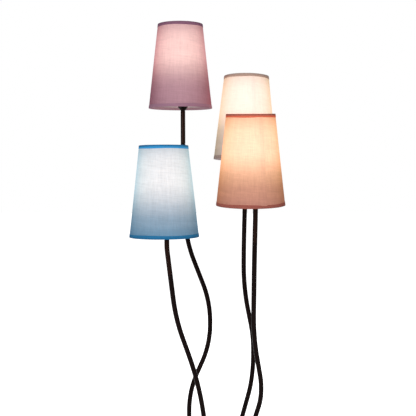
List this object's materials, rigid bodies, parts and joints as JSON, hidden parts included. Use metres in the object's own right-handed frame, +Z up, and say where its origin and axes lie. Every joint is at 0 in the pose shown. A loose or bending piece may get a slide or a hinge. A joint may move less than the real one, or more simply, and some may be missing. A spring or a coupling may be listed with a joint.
{
  "type": "tree floor lamp",
  "caption": "Tree floor lamp: a weighted round base, bent tube arms that rise to bendable necks, and a conical cloth shade with a bulb on each.",
  "frame": {"origin": "centre of the base's underside, on the floor", "axes": "+Z up, +X to the right and +Y away from the viewer as in the picture"},
  "size_m": [0.403, 0.4097, 1.6005],
  "materials": {
    "foot_pad": "black foam rubber, matt",
    "cast_weight": "sand-cast iron, black primer",
    "brown_paint": "dark mocha powder coat, satin",
    "neck_sleeve": "wound steel neck in a smooth dark mocha sleeve, satin",
    "plated_steel": "zinc plated",
    "grommet_rubber": "black, matt",
    "terminal_plastic": "moulded natural nylon",
    "holder_plastic": "moulded black thermoset, satin",
    "bulb_plastic": "white moulded shoulder",
    "bulb_globe": "opal white, lit warm",
    "white_wire": "white coated wire",
    "purple_cloth": "mauve woven cloth laminated on clear film, matt, lit from inside",
    "purple_trim": "bound edge tape, matt",
    "blue_cloth": "pale blue woven cloth laminated on clear film, matt, lit from inside",
    "blue_trim": "bound edge tape, matt",
    "white_cloth": "cream woven cloth laminated on clear film, matt, lit from inside",
    "white_trim": "bound edge tape, matt",
    "orange_cloth": "apricot woven cloth laminated on clear film, matt, lit from inside",
    "orange_trim": "bound edge tape, matt"
  },
  "bodies": {
    "stand": {"foot_pad": "foot_pad", "base_weight": "cast_weight", "base_cover": "brown_paint", "arm_hub": "brown_paint", "hub_set_screws": "plated_steel", "tie_stud": "plated_steel", "tie_nut": "plated_steel", "tie_washer": "plated_steel", "cord_grommet": "grommet_rubber", "terminal_block": "terminal_plastic", "cord_clamp": "terminal_plastic", "clamp_screws": "plated_steel", "purple_arm": "brown_paint", "blue_arm": "brown_paint", "white_arm": "brown_paint", "orange_arm": "brown_paint"},
    "purple_neck": {"purple_neck_lower": "neck_sleeve"},
    "purple_head": {"purple_neck_upper": "neck_sleeve", "purple_socket_cup": "brown_paint", "purple_lampholder": "holder_plastic", "purple_ring_nut": "holder_plastic", "purple_bulb_base": "bulb_plastic", "purple_bulb_globe": "bulb_globe", "purple_shade_carrier": "white_wire", "purple_shade_top_ring": "white_wire", "purple_shade_cloth": "purple_cloth", "purple_shade_trims": "purple_trim"},
    "blue_neck": {"blue_neck_lower": "neck_sleeve"},
    "blue_head": {"blue_neck_upper": "neck_sleeve", "blue_socket_cup": "brown_paint", "blue_lampholder": "holder_plastic", "blue_ring_nut": "holder_plastic", "blue_bulb_base": "bulb_plastic", "blue_bulb_globe": "bulb_globe", "blue_shade_carrier": "white_wire", "blue_shade_top_ring": "white_wire", "blue_shade_cloth": "blue_cloth", "blue_shade_trims": "blue_trim"},
    "white_neck": {"white_neck_lower": "neck_sleeve"},
    "white_head": {"white_neck_upper": "neck_sleeve", "white_socket_cup": "brown_paint", "white_lampholder": "holder_plastic", "white_ring_nut": "holder_plastic", "white_bulb_base": "bulb_plastic", "white_bulb_globe": "bulb_globe", "white_shade_carrier": "white_wire", "white_shade_top_ring": "white_wire", "white_shade_cloth": "white_cloth", "white_shade_trims": "white_trim"},
    "orange_neck": {"orange_neck_lower": "neck_sleeve"},
    "orange_head": {"orange_neck_upper": "neck_sleeve", "orange_socket_cup": "brown_paint", "orange_lampholder": "holder_plastic", "orange_ring_nut": "holder_plastic", "orange_bulb_base": "bulb_plastic", "orange_bulb_globe": "bulb_globe", "orange_shade_carrier": "white_wire", "orange_shade_top_ring": "white_wire", "orange_shade_cloth": "orange_cloth", "orange_shade_trims": "orange_trim"}
  },
  "joints": [
    {"name": "purple_tilt", "type": "hinge", "parent": "stand", "child": "purple_neck", "pos_m": [-0.10282, 0.11061, 1.28952], "axis": [1, 0, 0], "range_deg": [-35, 35], "deforming": ["purple_neck_lower"]},
    {"name": "purple_lean", "type": "hinge", "parent": "purple_neck", "child": "purple_head", "pos_m": [-0.103, 0.1118, 1.3345], "axis": [0, 1, 0], "range_deg": [-35, 8], "deforming": ["purple_neck_upper"]},
    {"name": "blue_tilt", "type": "hinge", "parent": "stand", "child": "blue_neck", "pos_m": [-0.13259, -0.11654, 0.94887], "axis": [1, 0, 0], "range_deg": [-25, 35], "deforming": ["blue_neck_lower"]},
    {"name": "blue_lean", "type": "hinge", "parent": "blue_neck", "child": "blue_head", "pos_m": [-0.13788, -0.11863, 0.99351], "axis": [0, 1, 0], "range_deg": [-35, 12], "deforming": ["blue_neck_upper"]},
    {"name": "white_tilt", "type": "hinge", "parent": "stand", "child": "white_neck", "pos_m": [0.07434, 0.09921, 1.14559], "axis": [1, 0, 0], "range_deg": [-35, 15], "deforming": ["white_neck_lower"]},
    {"name": "white_lean", "type": "hinge", "parent": "white_neck", "child": "white_head", "pos_m": [0.07569, 0.10051, 1.19055], "axis": [0, 1, 0], "range_deg": [-4, 35], "deforming": ["white_neck_upper"]},
    {"name": "orange_tilt", "type": "hinge", "parent": "stand", "child": "orange_neck", "pos_m": [0.09035, -0.09488, 1.02954], "axis": [1, 0, 0], "range_deg": [-8, 35], "deforming": ["orange_neck_lower"]},
    {"name": "orange_lean", "type": "hinge", "parent": "orange_neck", "child": "orange_head", "pos_m": [0.09112, -0.09594, 1.07453], "axis": [0, 1, 0], "range_deg": [-18, 35], "deforming": ["orange_neck_upper"]}
  ]
}
